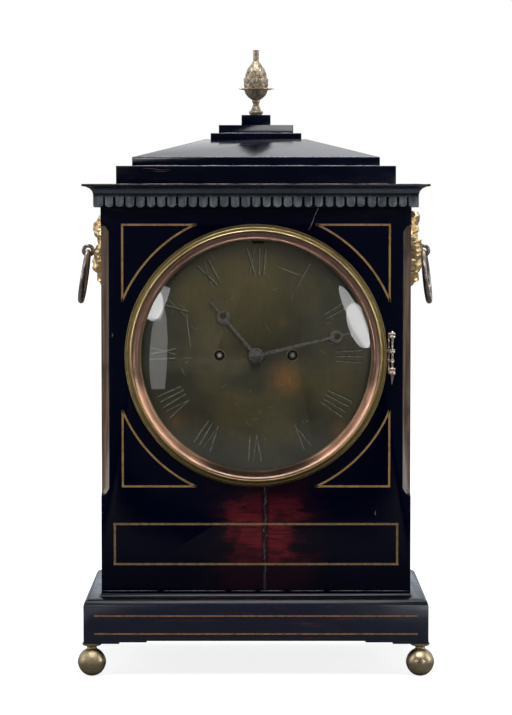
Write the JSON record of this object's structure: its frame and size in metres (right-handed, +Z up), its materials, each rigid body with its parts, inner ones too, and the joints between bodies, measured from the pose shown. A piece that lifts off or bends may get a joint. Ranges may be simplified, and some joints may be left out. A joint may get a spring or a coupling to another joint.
{
  "type": "bracket clock",
  "caption": "Bracket clock with a round engraved dial under a hinged convex bezel, dentil cornice, finial, ball feet, ring handles, glazed rear door and a fusee movement.",
  "frame": {"origin": "on the table, under the middle of the plinth", "axes": "+X to the right of someone facing the dial, +Y to the back, +Z up"},
  "size_m": [0.305, 0.1926, 0.5301],
  "materials": {
    "ebonised_wood": "black stained and polished, worn to red-brown in patches",
    "oak": "plain oak",
    "aged_brass": "aged, dull in the hollows",
    "gilt_brass": "gilt, chased",
    "bronze": "dark patinated bronze",
    "dial_brass": "tarnished engraved brass",
    "blued_steel": "dulled steel",
    "steel": "filed steel",
    "movement_brass": "lacquered brass",
    "bell_metal": "turned bell metal",
    "clear_glass": "clear"
  },
  "bodies": {
    "root": {"plinth": "ebonised_wood", "case_front": "ebonised_wood", "case_left_side": "ebonised_wood", "case_right_side": "ebonised_wood", "case_back_frame": "ebonised_wood", "seat_board": "oak", "cornice": "ebonised_wood", "dentil_band": "ebonised_wood", "top_tier": "ebonised_wood", "top_pyramid": "ebonised_wood", "top_step": "ebonised_wood", "finial_block": "ebonised_wood", "foot_front_left": "aged_brass", "foot_front_right": "aged_brass", "foot_back_left": "aged_brass", "foot_back_right": "aged_brass", "finial": "aged_brass", "lion_mask_left": "gilt_brass", "lion_mask_right": "gilt_brass", "ring_eye_left": "bronze", "ring_eye_right": "bronze", "side_fret_left": "aged_brass", "side_fret_right": "aged_brass", "bezel_hinge": "aged_brass", "dial_plate": "dial_brass", "rear_hinge_upper": "aged_brass", "rear_hinge_lower": "aged_brass", "front_plate": "movement_brass", "back_plate": "movement_brass", "back_cock": "movement_brass", "bell": "bell_metal", "bell_stand": "steel"},
    "bezel": {"bezel": "aged_brass", "sight_ring": "aged_brass", "bezel_glass": "clear_glass"},
    "rear_door": {"rear_door": "ebonised_wood", "rear_door_glass": "clear_glass", "door_leaf_upper": "aged_brass", "door_leaf_lower": "aged_brass"},
    "ring_left": {"ring_left": "bronze"},
    "ring_right": {"ring_right": "bronze"},
    "minute": {"cannon_pinion": "movement_brass", "minute_hand": "blued_steel", "hand_collet": "blued_steel"},
    "hour": {"hour_wheel": "movement_brass", "hour_hand": "blued_steel"},
    "minute_wheel": {"minute_wheel": "movement_brass"},
    "centre": {"centre_wheel": "movement_brass"},
    "third": {"third_wheel": "movement_brass"},
    "escape": {"escape_wheel": "movement_brass"},
    "going_fusee": {"going_fusee": "movement_brass"},
    "going_barrel": {"going_barrel": "movement_brass"},
    "strike_fusee": {"strike_fusee": "movement_brass"},
    "strike_barrel": {"strike_barrel": "movement_brass"},
    "pin": {"pin_wheel": "movement_brass"},
    "gathering": {"gathering_wheel": "movement_brass"},
    "fly": {"fly": "movement_brass"},
    "anchor": {"anchor": "steel"},
    "pendulum": {"pendulum": "movement_brass"},
    "hammer": {"hammer": "steel"}
  },
  "joints": [
    {"name": "bezel_swing", "type": "hinge", "parent": "root", "child": "bezel", "pos_m": [0.1145, -0.0815, 0.27], "axis": [0, 0, 1], "range_deg": [0, 110]},
    {"name": "rear_door_swing", "type": "hinge", "parent": "root", "child": "rear_door", "pos_m": [-0.09, 0.0803, 0.24], "axis": [0, 0, 1], "range_deg": [0, 110]},
    {"name": "ring_left_swing", "type": "hinge", "parent": "root", "child": "ring_left", "pos_m": [-0.1457, 0, 0.3562], "axis": [0, 1, 0], "range_deg": [0, 100]},
    {"name": "ring_right_swing", "type": "hinge", "parent": "root", "child": "ring_right", "pos_m": [0.1457, 0, 0.3562], "axis": [0, -1, 0], "range_deg": [0, 100]},
    {"name": "minute_turn", "type": "hinge", "parent": "root", "child": "minute", "pos_m": [0, -0.07, 0.27], "axis": [0, 1, 0], "continuous": true},
    {"name": "hour_turn", "type": "hinge", "parent": "root", "child": "hour", "pos_m": [0, -0.07, 0.27], "axis": [0, 1, 0], "continuous": true},
    {"name": "minute_wheel_turn", "type": "hinge", "parent": "root", "child": "minute_wheel", "pos_m": [0, -0.063, 0.2565], "axis": [0, 1, 0], "continuous": true},
    {"name": "escape_turn", "type": "hinge", "parent": "root", "child": "escape", "pos_m": [0, -0.001, 0.30488], "axis": [0, 1, 0], "continuous": true},
    {"name": "third_turn", "type": "hinge", "parent": "root", "child": "third", "pos_m": [0.005, -0.007, 0.28916], "axis": [0, 1, 0], "continuous": true},
    {"name": "centre_turn", "type": "hinge", "parent": "root", "child": "centre", "pos_m": [0, -0.013, 0.27], "axis": [0, 1, 0], "continuous": true},
    {"name": "going_fusee_turn", "type": "hinge", "parent": "root", "child": "going_fusee", "pos_m": [0.0307, -0.03, 0.27], "axis": [0, 1, 0], "continuous": true},
    {"name": "going_barrel_turn", "type": "hinge", "parent": "root", "child": "going_barrel", "pos_m": [0.032, -0.03, 0.213], "axis": [0, 1, 0], "continuous": true},
    {"name": "fly_turn", "type": "hinge", "parent": "root", "child": "fly", "pos_m": [-0.02602, -0.02, 0.32578], "axis": [0, 1, 0], "continuous": true},
    {"name": "gathering_turn", "type": "hinge", "parent": "root", "child": "gathering", "pos_m": [-0.02211, -0.029, 0.31444], "axis": [0, 1, 0], "continuous": true},
    {"name": "pin_wheel_turn", "type": "hinge", "parent": "root", "child": "pin", "pos_m": [-0.0307, -0.019, 0.3007], "axis": [0, 1, 0], "continuous": true},
    {"name": "strike_fusee_turn", "type": "hinge", "parent": "root", "child": "strike_fusee", "pos_m": [-0.0307, -0.03, 0.27], "axis": [0, 1, 0], "continuous": true},
    {"name": "strike_barrel_turn", "type": "hinge", "parent": "root", "child": "strike_barrel", "pos_m": [-0.032, -0.03, 0.213], "axis": [0, 1, 0], "continuous": true},
    {"name": "pendulum_swing", "type": "hinge", "parent": "root", "child": "pendulum", "pos_m": [0, 0.022, 0.32588], "axis": [0, 1, 0], "range_deg": [-3, 3]},
    {"name": "anchor_rock", "type": "hinge", "parent": "root", "child": "anchor", "pos_m": [0, 0, 0.32588], "axis": [0, 1, 0], "range_deg": [-3, 3]},
    {"name": "hammer_lift", "type": "hinge", "parent": "root", "child": "hammer", "pos_m": [-0.046, -0.026, 0.322], "axis": [0, -1, 0], "range_deg": [0, 12]}
  ],
  "couplings": [
    {"joint": "hour_turn", "follows": "minute_turn", "ratio": 0.083333},
    {"joint": "minute_wheel_turn", "follows": "minute_turn", "ratio": -0.5},
    {"joint": "third_turn", "follows": "escape_turn", "ratio": -0.1},
    {"joint": "centre_turn", "follows": "escape_turn", "ratio": 0.01},
    {"joint": "going_fusee_turn", "follows": "escape_turn", "ratio": -0.0011111},
    {"joint": "fly_turn", "follows": "gathering_turn", "ratio": -7},
    {"joint": "pin_wheel_turn", "follows": "gathering_turn", "ratio": -0.125},
    {"joint": "strike_fusee_turn", "follows": "gathering_turn", "ratio": 0.013889},
    {"joint": "anchor_rock", "follows": "pendulum_swing", "ratio": 1}
  ]
}
